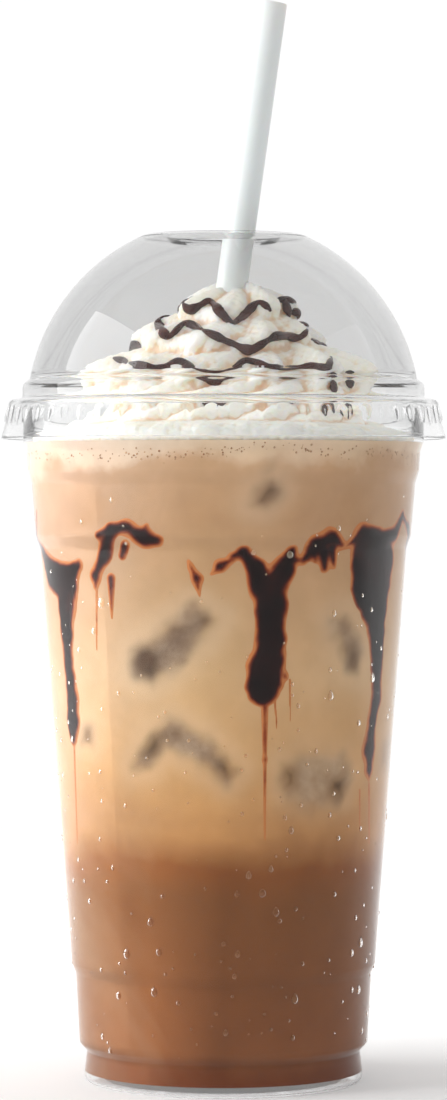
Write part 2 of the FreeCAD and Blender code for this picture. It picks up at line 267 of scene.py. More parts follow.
class M:
    """A small node-tree builder."""
    def __init__(self, name):
        self.mat = bpy.data.materials.new(name)
        self.mat.use_nodes = True
        self.t = self.mat.node_tree
        self.t.nodes.clear()
        self.out = self.t.nodes.new("ShaderNodeOutputMaterial")
        self.bsdf = self.t.nodes.new("ShaderNodeBsdfPrincipled")
        self.link(self.bsdf.outputs[0], self.out.inputs[0])

    def n(self, kind, **kw):
        node = self.t.nodes.new(kind)
        for k, v in kw.items():
            setattr(node, k, v)
        return node

    def link(self, a, b):
        self.t.links.new(a, b)

    def set(self, **kw):
        for k, v in kw.items():
            self.bsdf.inputs[k.replace("_", " ")].default_value = v

    def pos(self):
        if not hasattr(self, "_p"):
            self._p = self.n("ShaderNodeTexCoord").outputs["Object"]
        return self._p

    def noise(self, scale, detail=3, rough=0.5, vec=None, dist=0.0):
        nd = self.n("ShaderNodeTexNoise")
        nd.inputs["Scale"].default_value = scale
        nd.inputs["Detail"].default_value = detail
        nd.inputs["Roughness"].default_value = rough
        nd.inputs["Distortion"].default_value = dist
        self.link(vec or self.pos(), nd.inputs["Vector"])
        return nd.outputs[0]

    def math(self, op, a, b=0.0, clamp=False):
        nd = self.n("ShaderNodeMath", operation=op, use_clamp=clamp)
        for i, v in enumerate((a, b)):
            if isinstance(v, (int, float)):
                nd.inputs[i].default_value = v
            else:
                self.link(v, nd.inputs[i])
        return nd.outputs[0]

    def ramp(self, fac, stops, mode="LINEAR"):
        nd = self.n("ShaderNodeValToRGB")
        el = nd.color_ramp.elements
        nd.color_ramp.interpolation = mode
        while len(el) > 1:
            el.remove(el[-1])
        el[0].position, el[0].color = stops[0]
        for p, c in stops[1:]:
            e = el.new(p)
            e.color = c
        self.link(fac, nd.inputs[0])
        return nd.outputs[0]

    def mix(self, fac, a, b, mode="MIX"):
        nd = self.n("ShaderNodeMix", data_type="RGBA", blend_type=mode)
        for sock, v in ((nd.inputs[0], fac), (nd.inputs[6], a), (nd.inputs[7], b)):
            if isinstance(v, (int, float, tuple)):
                sock.default_value = v
            else:
                self.link(v, sock)
        return nd.outputs[2]

    def attr(self, name):
        return self.n("ShaderNodeAttribute", attribute_name=name).outputs["Fac"]

    def bump(self, height, strength, distance):
        nd = self.n("ShaderNodeBump")
        nd.inputs["Strength"].default_value = strength
        nd.inputs["Distance"].default_value = distance
        self.link(height, nd.inputs["Height"])
        self.link(nd.outputs[0], self.bsdf.inputs["Normal"])

    def clear_shadows(self, tint=(1, 1, 1, 1)):
        """Light passes straight through for shadow rays."""
        lp = self.n("ShaderNodeLightPath")
        tr = self.n("ShaderNodeBsdfTransparent")
        tr.inputs[0].default_value = tint
        mx = self.n("ShaderNodeMixShader")
        self.link(lp.outputs["Is Shadow Ray"], mx.inputs[0])
        self.link(self.bsdf.outputs[0], mx.inputs[1])
        self.link(tr.outputs[0], mx.inputs[2])
        self.link(mx.outputs[0], self.out.inputs[0])


def clear_plastic(name, tint, ior, rough, dome_shade_tint=None):
    m = M(name)
    m.set(Base_Color=tint, Roughness=rough, IOR=ior, Transmission_Weight=1.0)
    # painted shade: from 162 to 168 mm up, the plastic lets less light through, greying the dome
    if dome_shade_tint:
        sep = m.n("ShaderNodeSeparateXYZ")
        m.link(m.pos(), sep.inputs[0])
        h = m.math("DIVIDE", m.math("SUBTRACT", sep.outputs[2], 0.160), 0.010, clamp=True)
        m.link(m.ramp(h, [(0.2, tint), (0.8, dome_shade_tint)]), m.bsdf.inputs["Base Color"])
    smear = m.noise(90, 4, 0.6)
    m.link(m.ramp(smear, [(0.35, (rough,) * 3 + (1,)), (0.8, (rough + 0.035,) * 3 + (1,))]), m.bsdf.inputs["Roughness"])
    m.bump(m.noise(35, 2, 0.4), 0.05, 0.0004)
    m.clear_shadows((0.99, 0.99, 0.99, 1))
    return m.mat


def ice_colour(m, core):
    """Grey-beige where the ice is clear, brown-black towards its ends."""
    pale = m.ramp(core, [(0.34, lin(112, 88, 72)), (0.50, lin(152, 130, 110)), (0.68, lin(190, 170, 150))])
    deep = m.ramp(core, [(0.38, lin(46, 28, 22)), (0.56, lin(82, 58, 46)), (0.70, lin(126, 100, 82))])
    return m.mix(m.attr("dark"), pale, deep)


def drink_material(name, on_the_wall=False):
    m = M(name)
    sep = m.n("ShaderNodeSeparateXYZ")
    m.link(m.pos(), sep.inputs[0])
    z = sep.outputs[2]
    broad = m.noise(22, 4, 0.55, dist=0.6)
    fine = m.noise(160, 3, 0.6)
    wob = m.math("MULTIPLY", m.math("SUBTRACT", broad, 0.5), 0.016)
    lift = m.math("MULTIPLY", m.math("DIVIDE", m.math("SUBTRACT", z, 0.139), 0.006, clamp=True), m.math("MULTIPLY", m.math("SUBTRACT", m.noise(48, 4, 0.6), 0.5), 0.020))
    h = m.math("DIVIDE", m.math("ADD", m.math("ADD", z, wob), lift), 0.160, clamp=True)
    k = lambda mm_: mm_ / 160.0
    col = m.ramp(h, [
        (0.0, lin(116, 60, 32)), (k(6), lin(124, 68, 38)), (k(10), lin(148, 94, 60)), (k(46), lin(146, 96, 60)),
        (k(53), lin(156, 98, 56)), (k(61), lin(206, 156, 104)), (k(76), lin(222, 178, 124)), (k(98), lin(226, 192, 148)),
        (k(134), lin(206, 168, 130)), (k(146), lin(216, 180, 144)), (k(149.5), lin(238, 214, 186)), (1.0, lin(246, 230, 208))])
    mott = m.ramp(broad, [(0.3, (0.86, 0.85, 0.83, 1)), (0.7, (1.1, 1.1, 1.08, 1))])
    col = m.mix(0.8, col, mott, "MULTIPLY")
    swirl = m.noise(9, 5, 0.6, dist=1.4)
    warm = m.ramp(m.math("ADD", m.math("MULTIPLY", swirl, 0.7), 0.12, clamp=True), [(0.3, (1.06, 1.02, 0.92, 1)), (0.5, (1.0, 1.0, 1.0, 1)), (0.72, (0.92, 0.9, 0.9, 1))])
    col = m.mix(0.85, col, warm, "MULTIPLY")
    # painted light: the drink turns paler towards -x, the side the light comes from, with a wobbly edge from the swirl
    # noise
    left_light = m.ramp(m.math("ADD", m.math("MULTIPLY", sep.outputs[0], -14.0), m.math("MULTIPLY", m.math("SUBTRACT", swirl, 0.5), 1.2), clamp=True), [(0.15, (0, 0, 0, 1)), (0.75, (1, 1, 1, 1))])
    col = m.mix(m.math("MULTIPLY", left_light, 0.45), col, m.mix(0.5, col, lin(246, 226, 196)))
    across = m.math("ADD", m.math("DIVIDE", sep.outputs[0], 0.094), 0.5, clamp=True)
    low = m.ramp(m.math("DIVIDE", m.math("ADD", z, wob), 0.160, clamp=True), [(k(52), (1, 1, 1, 1)), (k(64), (0, 0, 0, 1))])
    # painted light and shade on the coffee layer: lighter towards -x, darkest in the middle, a little darker on the
    # right
    low_side_light = m.ramp(across, [(0.14, (1.12, 1.14, 1.08, 1)), (0.32, (1.28, 1.32, 1.26, 1)), (0.50, (0.76, 0.71, 0.62, 1)), (0.66, (0.92, 0.88, 0.80, 1)), (0.9, (0.92, 0.90, 0.86, 1))])
    col = m.mix(low, col, m.mix(1.0, col, low_side_light, "MULTIPLY"))
    # painted shade above the coffee layer: darker towards the right edge and a little in the middle, slightly cooler on
    # the left
    high_side_shade = m.ramp(across, [(0.12, (0.96, 0.94, 1.03, 1)), (0.26, (0.95, 0.97, 1.06, 1)), (0.45, (0.92, 0.91, 0.90, 1)), (0.72, (0.97, 0.95, 0.97, 1)), (0.9, (0.84, 0.80, 0.76, 1))])
    col = m.mix(low, m.mix(1.0, col, high_side_shade, "MULTIPLY"), col)
    speck = m.ramp(fine, [(0.4, (0.96, 0.95, 0.94, 1)), (0.62, (1.03, 1.03, 1.03, 1))])
    col = m.mix(0.7, col, speck, "MULTIPLY")
    core = m.noise(85, 5, 0.62)
    icecol = ice_colour(m, core)
    # painted light: the drink paler in a ring round each piece of ice
    col = m.mix(m.math("MULTIPLY", m.attr("halo"), 0.22), col, lin(236, 216, 188))
    col = m.mix(m.attr("ice"), col, icecol)
    m.link(col, m.bsdf.inputs["Base Color"])
    m.set(Roughness=0.6, IOR=1.34, Specular_IOR_Level=0.0)
    m.bump(broad, 0.05, 0.0004)
    if on_the_wall:
        flat = m.n("ShaderNodeCombineXYZ")
        m.link(sep.outputs[0], flat.inputs[0])
        m.link(sep.outputs[1], flat.inputs[1])
        flat.inputs[2].default_value = -0.0032
        unit = m.n("ShaderNodeVectorMath", operation="NORMALIZE")
        m.link(flat.outputs[0], unit.inputs[0])
        m.link(unit.outputs[0], m.bsdf.inputs["Normal"].links[0].from_node.inputs["Normal"])
    return m.mat


def syrup_material():
    m = M("syrup_wall")
    thick = m.attr("thick")
    n = m.noise(120, 3, 0.6)
    f = m.math("ADD", thick, m.math("MULTIPLY", m.math("SUBTRACT", m.noise(75, 4, 0.6), 0.62), 1.5), clamp=True)
    col = m.ramp(f, [(0.0, lin(204, 132, 78)), (0.20, lin(154, 72, 36)), (0.42, lin(78, 28, 18)), (0.66, lin(36, 12, 11)), (1.0, lin(20, 6, 6))])
    m.link(col, m.bsdf.inputs["Base Color"])
    m.set(Roughness=0.5, IOR=1.45, Specular_IOR_Level=0.05)
    m.bump(n, 0.2, 0.0004)
    return m.mat


def sauce_material():
    m = M("chocolate_sauce")
    n = m.noise(200, 3, 0.5)
    m.link(m.ramp(n, [(0.3, lin(38, 14, 9)), (0.7, lin(74, 31, 20))]), m.bsdf.inputs["Base Color"])
    m.set(Roughness=0.2, IOR=1.45)
    m.bump(m.noise(500, 2, 0.5), 0.12, 0.0003)
    return m.mat


def cream_material():
    m = M("whipped_cream")
    n, f = m.noise(60, 4, 0.55), m.noise(900, 3, 0.6)
    body = m.ramp(n, [(0.3, lin(250, 240, 224)), (0.7, lin(255, 250, 241))])
    # painted shade: the cream turns darker and warmer deep in its folds
    m.link(m.mix(m.attr("fold"), body, lin(236, 208, 174)), m.bsdf.inputs["Base Color"])
    m.set(Roughness=0.5, Subsurface_Weight=0.75, Subsurface_Scale=0.007, IOR=1.4)
    m.bsdf.inputs["Subsurface Radius"].default_value = (1.0, 0.75, 0.5)
    m.bump(f, 0.25, 0.00035)
    return m.mat


def straw_material():
    m = M("straw")
    n = m.noise(40, 3, 0.5)
    m.link(m.ramp(n, [(0.3, lin(243, 243, 241)), (0.7, lin(249, 249, 248))]), m.bsdf.inputs["Base Color"])
    m.set(Roughness=0.38, Subsurface_Weight=0.15, Subsurface_Scale=0.002, IOR=1.49)
    m.bump(m.noise(300, 2, 0.5), 0.05, 0.0003)
    return m.mat


def water_material():
    m = M("water_drops")
    m.set(Roughness=0.04, IOR=1.33, Transmission_Weight=0.78)
    sep = m.n("ShaderNodeSeparateXYZ")
    m.link(m.pos(), sep.inputs[0])
    m.link(m.ramp(m.math("DIVIDE", sep.outputs[2], 0.160, clamp=True), [(0.30, lin(196, 146, 104)), (0.42, lin(236, 204, 164)), (0.7, lin(248, 226, 194))]), m.bsdf.inputs["Base Color"])
    m.bump(m.noise(400, 2, 0.4), 0.03, 0.0002)
    m.clear_shadows()
    return m.mat


def bubble_material():
    m = M("foam_bubbles")
    m.link(m.ramp(m.noise(800, 2, 0.5), [(0.3, lin(158, 112, 78)), (0.7, lin(220, 186, 150))]), m.bsdf.inputs["Base Color"])
    m.set(Roughness=0.25)
    m.bump(m.noise(900, 2, 0.5), 0.1, 0.0002)
    return m.mat


def adopt(ob, slot, *nodes):
    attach(ob, "root")
    if nodes:
        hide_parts(*nodes)
    return ob


# ------------------------------------------------------------------ cup
outer = round_path(CUP_PATH)
inner = round_path(shift_path(CUP_PATH, CUP_WALL))
a0, a1 = math.radians(-112), math.radians(180)
bead = np.array([(BEAD_R + BEAD_T * math.cos(a0 + (a1 - a0) * k / 22), BEAD_Z + BEAD_T * math.sin(a0 + (a1 - a0) * k / 22)) for k in range(23)])


def dense(line, step):
    out = [line[0]]
    for p in line[1:]:
        d = np.linalg.norm(p - out[-1])
        if d < 1e-5:
            continue
        n = max(1, int(d / step))
        q = out[-1].copy()
        for k in range(1, n + 1):
            out.append(q + (p - q) * k / n)
    return np.array(out)


cup_line = np.vstack([dense(outer[outer[:, 1] < 160.9], 4.0), bead, dense(inner[::-1][inner[::-1][:, 1] < 161.2], 4.0)])
cup = spin("cup_clear", cup_line, 288, clear_plastic("cup_plastic", (0.98, 0.985, 0.985, 1), 1.37, 0.015))
adopt(cup, "cup", "cup")

IN_Z = inner[np.argmax(inner[:, 0] > 31):]
IN_Z = IN_Z[np.argsort(IN_Z[:, 1])]


def wall_r(z):
    return np.interp(z, IN_Z[:, 1], IN_Z[:, 0])


# ------------------------------------------------------------------ lid
lid_low = [(53.1, 153.6, 0), (52.25, 156.9, 2.0), (51.2, 162.9, 1.9), (48.1, 162.9, 0.7), (48.0, 166.5, 1.7),
           (math.sqrt(DOME_R ** 2 - 8.6 ** 2), 167.6, 0)]
lid_top = [(math.sqrt(DOME_R ** 2 - (DOME_TOP - DOME_Z) ** 2), DOME_TOP, 0), (13.5, DOME_TOP, 0.8), (12.5, 200.6, 0)]


def dome(radius, z0, z1, n=44):
    b0, b1 = math.asin((z0 - DOME_Z) / radius), math.asin((z1 - DOME_Z) / radius)
    return np.array([(radius * math.cos(b0 + (b1 - b0) * k / n), DOME_Z + radius * math.sin(b0 + (b1 - b0) * k / n)) for k in range(n + 1)])


in_low = shift_path(lid_low, LID_WALL)
in_top = shift_path(lid_top, LID_WALL)
out_part = np.vstack([dense(round_path(lid_low), 0.5), dome(DOME_R, 167.6, DOME_TOP, 32), dense(round_path(lid_top), 1.0)])
in_part = np.vstack([dense(round_path(in_low)[:-1], 1.0), dome(DOME_R - LID_WALL, 167.75, DOME_TOP - LID_WALL, 28),
                     dense(round_path([(18.6, DOME_TOP - LID_WALL, 0)] + in_top[1:]), 1.0)])
lid_line = np.vstack([out_part, in_part[::-1], [(52.72, 153.40), (52.90, 153.36), (53.06, 153.44)]])
N_OUT = len(out_part)


def ribs(k, r, z, th):
    if k >= N_OUT or not RIB_LOW < z < RIB_TOP or r < 50:
        return 0.0
    ph = (th * RIB_COUNT / (2 * math.pi)) % 1.0
    up = (z - RIB_LOW) / (RIB_TOP - RIB_LOW)
    width = 0.12 + 0.26 * up
    return RIB_H * max(0.0, 1 - abs(ph - 0.5) / width) * min(1.0, 4 * (1 - up)) * min(1.0, 3 * up)


# the dome's darker tint is painted shade
lid = spin("lid_clear", lid_line, 600, clear_plastic("lid_plastic", (0.95, 0.95, 0.95, 1), 1.37, 0.015, (0.785, 0.785, 0.785, 1)), closed=True, bump=ribs)
adopt(lid, "lid", "lid")

# ------------------------------------------------------------------ straw
ax = np.array([STRAW_LEAN, 0, 1.0]); ax /= np.linalg.norm(ax)
sx, sy = np.cross([0, 1.0, 0], ax), np.array([0, 1.0, 0])
p0 = np.array([STRAW_X + STRAW_LEAN * (STRAW_LOW - DOME_TOP), 0, STRAW_LOW])
p1 = p0 + ax * (STRAW_HIGH - STRAW_LOW) / ax[2]
L = np.linalg.norm(p1 - p0)
line = [(STRAW_R, 0.12), (STRAW_R, L - 0.12), (STRAW_R - 0.12, L), (STRAW_R - STRAW_WALL + 0.12, L), (STRAW_R - STRAW_WALL, L - 0.12),
        (STRAW_R - STRAW_WALL, 0.12), (STRAW_R - STRAW_WALL + 0.12, 0), (STRAW_R - 0.12, 0)]
verts, faces = [], []
for r, h in line:
    for i in range(64):
        t = 2 * math.pi * i / 64
        verts.append(p0 + ax * h + (sx * math.cos(t) + sy * math.sin(t)) * r)
for a in range(len(line)):
    b = (a + 1) % len(line)
    for i in range(64):
        j = (i + 1) % 64
        faces.append((a * 64 + i, b * 64 + i, b * 64 + j, a * 64 + j))
straw = new_mesh("straw_tube", verts, faces, mat=straw_material())
adopt(straw, "straw", "straw")

# ------------------------------------------------------------------ the wall, unrolled
CAM = np.array([0.0, -974.0, 138.3])
UR = 40.0      # radius used to unroll angles into mm


def on_wall(x, z):
    """Where a sight line through (x, z) on the axis plane meets the front inner wall: (u, z)."""
    zz = z
    for _ in range(6):
        r = wall_r(zz) - 0.05
        t = 1.0
        for _ in range(6):
            xx = max(-r * 0.997, min(r * 0.997, x * t))
            t = (974.0 - math.sqrt(r * r - xx * xx)) / 974.0
        zz = CAM[2] + (z - CAM[2]) * t
    th = math.asin(max(-0.997, min(0.997, xx / r)))
    return th * UR, zz, 1.0 / max(0.3, math.cos(th))


def place(strokes):
    out = []
    for s in strokes:
        pts = []
        for x, z, w in s:
            u, zz, st = on_wall(x, z)
            pts.append((u, zz, (w * 1.12 if w > 0.4 else w) * min(1.7, 0.4 + 0.6 * st)))
        out.append(pts)
    return out


def moved(strokes, du, flip=False, dz=0.0, k=1.0):
    c = np.mean([p[0] for s in strokes for p in s])
    top = max(p[1] for s in strokes for p in s)
    return [[((-(p[0] - c) if flip else (p[0] - c)) + du, top + (p[1] - top) * k + dz, p[2]) for p in s] for s in strokes]


A, B, C, D, E, F = (place(s) for s in (DRIP_A, DRIP_B, DRIP_C, DRIP_D, DRIP_E, DRIP_F))
TA, TB, TD, TF = (place(s) for s in (THIN_A, THIN_B, THIN_D, THIN_F))
TURN = 2 * math.pi * UR
front = A + B + C + D + E + F
thin = TA + TB + TD + TF
back = (moved(D + TD, 92, True, -1.0, 0.92) + moved(B, 112, False, 1.0) + moved(A, 128, True, -2.0, 1.1) + moved(E, 146, True, 0.5)
        + moved(F + TF, 164, False, -1.5, 0.85) + moved(B, -68 + TURN, True, 0.0, 1.2))


def stroke_field(u, z, strokes):
    """Signed distance to a set of tapering strokes on the unrolled wall."""
    best = np.full(u.shape, 1e3)
    for s in strokes:
        for (x0, z0, w0), (x1, z1, w1) in zip(s, s[1:]):
            lo, hi = min(x0, x1) - 12, max(x0, x1) + 12
            du = (u - (lo + hi) / 2 + TURN / 2) % TURN - TURN / 2 + (lo + hi) / 2
            m = (du > lo) & (du < hi) & (z > min(z0, z1) - 12) & (z < max(z0, z1) + 12)
            if not m.any():
                continue
            px, pz = du[m] - x0, z[m] - z0
            dx, dz = x1 - x0, z1 - z0
            t = np.clip((px * dx + pz * dz) / (dx * dx + dz * dz + 1e-9), 0, 1)
            d = np.hypot(px - t * dx, pz - t * dz) - (w0 + (w1 - w0) * t)
            b = best[m]
            kk = 1.0
            hmx = np.clip(0.5 + 0.5 * (b - d) / kk, 0, 1)
            best[m] = b * (1 - hmx) + d * hmx - kk * hmx * (1 - hmx) * (b < 50)
    return best


def wander(u, z, seed, size):
    """A smooth, seamless wobble on the wall, about -1..1."""
    g = np.random.default_rng(seed)
    out = np.zeros(u.shape)
    for _ in range(9):
        k = g.integers(1, max(2, int(TURN / size)))
        out += np.sin(u / UR * k + z * g.normal(0, 1.0 / size * 3) + g.uniform(0, 6.28)) * g.uniform(0.4, 1)
    return out / 3.2


ICE_AT = [(*on_wall(x, z)[:2], a, b, ang, k) for x, z, a, b, ang, k in ICE]
g = np.random.default_rng(21)
for i in range(11):
    ICE_AT.append((62 + i * 12.4 + g.uniform(-2, 2), g.choice([78, 92, 106, 118, 132]) + g.uniform(-4, 4), g.uniform(7, 11), g.uniform(2.6, 6.0), g.uniform(-60, 60), g.uniform(0.6, 1.0)))


DARK_AT = [(*on_wall(x, z)[:2], ru, rz) for x, z, ru, rz in ICE_DARK]
for cu_, cz_, a_, b_, ang_, k_ in ICE_AT[len(ICE):]:
    s_ = g.choice([-1, 1])
    DARK_AT.append((cu_ + s_ * 0.7 * a_ * math.cos(math.radians(ang_)), cz_ + s_ * 0.7 * a_ * math.sin(math.radians(ang_)), 3.6, 3.2))


def poly_field(u, z, poly):
    d = np.full(u.shape, 1e9)
    sgn = np.ones(u.shape)
    cu = sum(p[0] for p in poly) / len(poly)
    uu = (u - cu + TURN / 2) % TURN - TURN / 2 + cu
    for (x0, z0), (x1, z1) in zip(poly, poly[1:] + poly[:1]):
        ex, ez = x1 - x0, z1 - z0
        wx, wz = uu - x0, z - z0
        t = np.clip((wx * ex + wz * ez) / (ex * ex + ez * ez), 0, 1)
        d = np.minimum(d, np.hypot(wx - ex * t, wz - ez * t))
        c1, c2, c3 = z >= z0, z < z1, ex * wz > ez * wx
        flip = (c1 & c2 & c3) | (~c1 & ~c2 & ~c3)
        sgn = np.where(flip, -sgn, sgn)
    return sgn * d


def box_field(u, z, cx, cz, a, b, ang):
    du = (u - cx + TURN / 2) % TURN - TURN / 2
    dz = z - cz
    c, s = math.cos(math.radians(ang)), math.sin(math.radians(ang))
    p, q = du * c + dz * s, -du * s + dz * c
    r = min(a, b) * 0.7
    ex, ey = np.abs(p) - (a - r), np.abs(q) - (b - r)
    return np.hypot(np.maximum(ex, 0), np.maximum(ey, 0)) + np.minimum(np.maximum(ex, ey), 0) - r


SHARDS = [([on_wall(x, z)[:2] for x, z in poly], k) for poly, k in ICE_POLY]
for cx_, cz_, a_, b_, ang_, k_ in ICE_AT[len(ICE):]:
    c_, s_ = math.cos(math.radians(ang_)), math.sin(math.radians(ang_))
    q_ = [(-1, -0.8), (0.7, -1.1), (1.1, 0.5), (0.1, 1.15), (-0.9, 0.7)]
    SHARDS.append(([(cx_ + x * a_ * c_ - y * b_ * s_, cz_ + x * a_ * s_ + y * b_ * c_) for x, y in q_], k_))


def ice_mix(u, z):
    m = np.zeros(u.shape)
    wob = wander(u, z, 5, 9) * 1.2 + wander(u, z, 8, 4) * 0.5
    for poly, k in SHARDS:
        d = poly_field(u, z, poly) + wob * 0.9
        t = np.clip(0.5 - d / 4.4, 0, 1)
        core = np.clip(-d / 5.0, 0, 1)
        m = np.maximum(m, k * t * t * (3 - 2 * t) * (0.72 + 0.28 * core))
    return m * np.clip((z - 58) / 6, 0, 1)


def dark_mix(u, z):
    """Where a piece of ice is dark: its ends and the odd core."""
    m = np.zeros(u.shape)
    for cu, cz, ru, rz in DARK_AT:
        du = (u - cu + TURN / 2) % TURN - TURN / 2
        m = np.maximum(m, np.exp(-((du / ru) ** 2 + ((z - cz) / rz) ** 2)))
    return np.clip(m * 1.25, 0, 1)


def halo_mix(u, z):
    """A paler ring in the drink round each piece of ice: painted light, where light through the ice brightens the
    drink.
    """
    m = np.zeros(u.shape)
    for poly, k in SHARDS:
        d = poly_field(u, z, poly)
        m = np.maximum(m, k * np.exp(-((d - 1.5) / 3.2) ** 2))
    return m * np.clip((z - 60) / 8, 0, 1)


# ------------------------------------------------------------------ drink
def drink(name, z0, z1, step, segs=512):
    n = max(2, int((z1 - z0) / step))
    zs = [z0 + (z1 - z0) * i / n for i in range(n + 1)]
    zs = [z for z in zs]
    verts, faces = [], []
    for z in zs:
        r = float(wall_r(z)) + INTO_WALL
        for i in range(segs):
            t = 2 * math.pi * i / segs
            verts.append((r * math.cos(t), r * math.sin(t), z))
    for j in range(n):
        for i in range(segs):
            k = (i + 1) % segs
            faces.append((j * segs + i, j * segs + k, (j + 1) * segs + k, (j + 1) * segs + i))
    for zc_, ring0, flip in ((z0, 0, True), (z1, n * segs, False)):
        b = len(verts)
        verts += verts[ring0:ring0 + segs] + [(0, 0, zc_)]
        for i in range(segs):
            k = (i + 1) % segs
            faces.append((b + segs, b + k, b + i) if flip else (b + segs, b + i, b + k))
    ob = new_mesh(name, verts, faces, mat=drink_material(name))
    v = np.array(verts)
    th = np.arctan2(v[:, 0], -v[:, 1])
    at = ob.data.attributes.new("ice", "FLOAT", "POINT")
    at.data.foreach_set("value", (ice_mix(th * UR, v[:, 2]) * (np.hypot(v[:, 0], v[:, 1]) > 20)).astype(np.float32))
    ad = ob.data.attributes.new("dark", "FLOAT", "POINT")
    ad.data.foreach_set("value", dark_mix(th * UR, v[:, 2]).astype(np.float32))
    ah = ob.data.attributes.new("halo", "FLOAT", "POINT")
    ah.data.foreach_set("value", (halo_mix(th * UR, v[:, 2]) * (np.hypot(v[:, 0], v[:, 1]) > 20)).astype(np.float32))
    return ob


floor_z = 2.55
adopt(drink("coffee_fill", floor_z, COFFEE_TOP, 1.2, 288), "coffee_base", "coffee_base")
adopt(drink("latte_fill", COFFEE_TOP, LATTE_TOP, 0.75, 512), "latte", "latte")
adopt(drink("foam_fill", LATTE_TOP, FOAM_TOP, 0.6, 288), "milk_foam", "milk_foam")


# ------------------------------------------------------------------ patches that lie on the wall
def wall_patch(name, field, height, zlo, zhi, step, mat, attr, attr_of, keep):
    nu, nz = int(TURN / step), int((zhi - zlo) / step)
    us = np.arange(nu) * TURN / nu
    zz = zlo + np.arange(nz + 1) * (zhi - zlo) / nz
    U, Z = np.meshgrid(us, zz)
    d = field(U, Z)
    ids = -np.ones(U.shape, int)
    cell = (d < keep)
    c = cell[:-1] & cell[1:] & np.roll(cell, -1, 1)[:-1] & np.roll(cell, -1, 1)[1:]
    jj, ii = np.nonzero(c)
    use = np.zeros(U.shape, bool)
    for dj, di in ((0, 0), (1, 0), (0, 1), (1, 1)):
        use[jj + dj, (ii + di) % nu] = True
    ids[use] = np.arange(use.sum())
    R = wall_r(Z) + INTO_WALL + height(d)
    th = U / UR
    P = np.stack([R * np.sin(th), -R * np.cos(th), Z], -1)[use]
    ix = (ii + 1) % nu
    q = np.stack([ids[jj, ii], ids[jj, ix], ids[jj + 1, ix], ids[jj + 1, ii]], 1)
    ob = new_mesh(name, P, q, mat=mat)
    at = ob.data.attributes.new(attr, "FLOAT", "POINT")
    at.data.foreach_set("value", attr_of(d[use]).astype(np.float32))
    return ob


def drip_field(u, z):
    d = stroke_field(u, z, front + back)
    d = d + wander(u, z, 3, 6) * 0.34 + wander(u, z, 4, 3.0) * 0.07
    return np.minimum(d, stroke_field(u, z, thin))


drips = wall_patch("syrup_drips", drip_field, lambda d: np.clip(-d * 0.35, -0.12, 0.24), 58, 142, 0.42,
                   syrup_material(), "thick", lambda d: np.clip(-d / 1.75, 0, 1), 0.6)
adopt(drips, "latte")

# ------------------------------------------------------------------ ice cubes, flush with the wall
def ice_cubes():
    verts, faces, vals = [], [], []
    N = 14
    for cx, cz, a, b, ang, k in ICE_AT:
        if k < 0.5 or cz < 64:
            continue
        base = len(verts)
        c, s = math.cos(math.radians(ang)), math.sin(math.radians(ang))
        depth = max(9.0, 1.6 * b)
        idx = {}
        for i in range(N + 1):
            for j in range(N + 1):
                for l in range(N + 1):
                    if 0 < i < N and 0 < j < N and 0 < l < N:
                        continue
                    p, q, w = 2 * i / N - 1, 2 * j / N - 1, l / N
                    e = 4.0
                    nn = (abs(p) ** e + abs(q) ** e + abs(2 * w - 1) ** e) ** (1 / e)
                    p, q, w2 = p / nn, q / nn, (2 * w - 1) / nn
                    x, y = p * a * 0.8, q * b * 0.8
                    u, z = cx + x * c - y * s, cz + x * s + y * c
                    inw = (1 - w2) / 2 * depth
                    r = float(wall_r(z)) + INTO_WALL + 0.06 - max(0.0, inw - depth * 0.16)
                    r = min(r, float(wall_r(z)) + INTO_WALL + 0.06)
                    idx[(i, j, l)] = len(verts)
                    verts.append((r * math.sin(u / UR), -r * math.cos(u / UR), z))
                    vals.append((u, z))
        def quad(a_, b_, c_, d_):
            faces.append((idx[a_], idx[b_], idx[c_], idx[d_]))
        for i in range(N):
            for j in range(N):
                quad((i, j, 0), (i, j + 1, 0), (i + 1, j + 1, 0), (i + 1, j, 0))
                quad((i, j, N), (i + 1, j, N), (i + 1, j + 1, N), (i, j + 1, N))
                quad((i, 0, j), (i + 1, 0, j), (i + 1, 0, j + 1), (i, 0, j + 1))
                quad((i, N, j), (i, N, j + 1), (i + 1, N, j + 1), (i + 1, N, j))
                quad((0, i, j), (0, i, j + 1), (0, i + 1, j + 1), (0, i + 1, j))
                quad((N, i, j), (N, i + 1, j), (N, i + 1, j + 1), (N, i, j + 1))
    ob = new_mesh("ice_cubes", verts, faces, mat=drink_material("ice_cubes", True))
    vals = np.array(vals)
    at = ob.data.attributes.new("ice", "FLOAT", "POINT")
    at.data.foreach_set("value", ice_mix(vals[:, 0], vals[:, 1]).astype(np.float32))
    ad = ob.data.attributes.new("dark", "FLOAT", "POINT")
    ad.data.foreach_set("value", dark_mix(vals[:, 0], vals[:, 1]).astype(np.float32))
    ah = ob.data.attributes.new("halo", "FLOAT", "POINT")
    ah.data.foreach_set("value", halo_mix(vals[:, 0], vals[:, 1]).astype(np.float32))
    return ob


adopt(ice_cubes(), "latte")


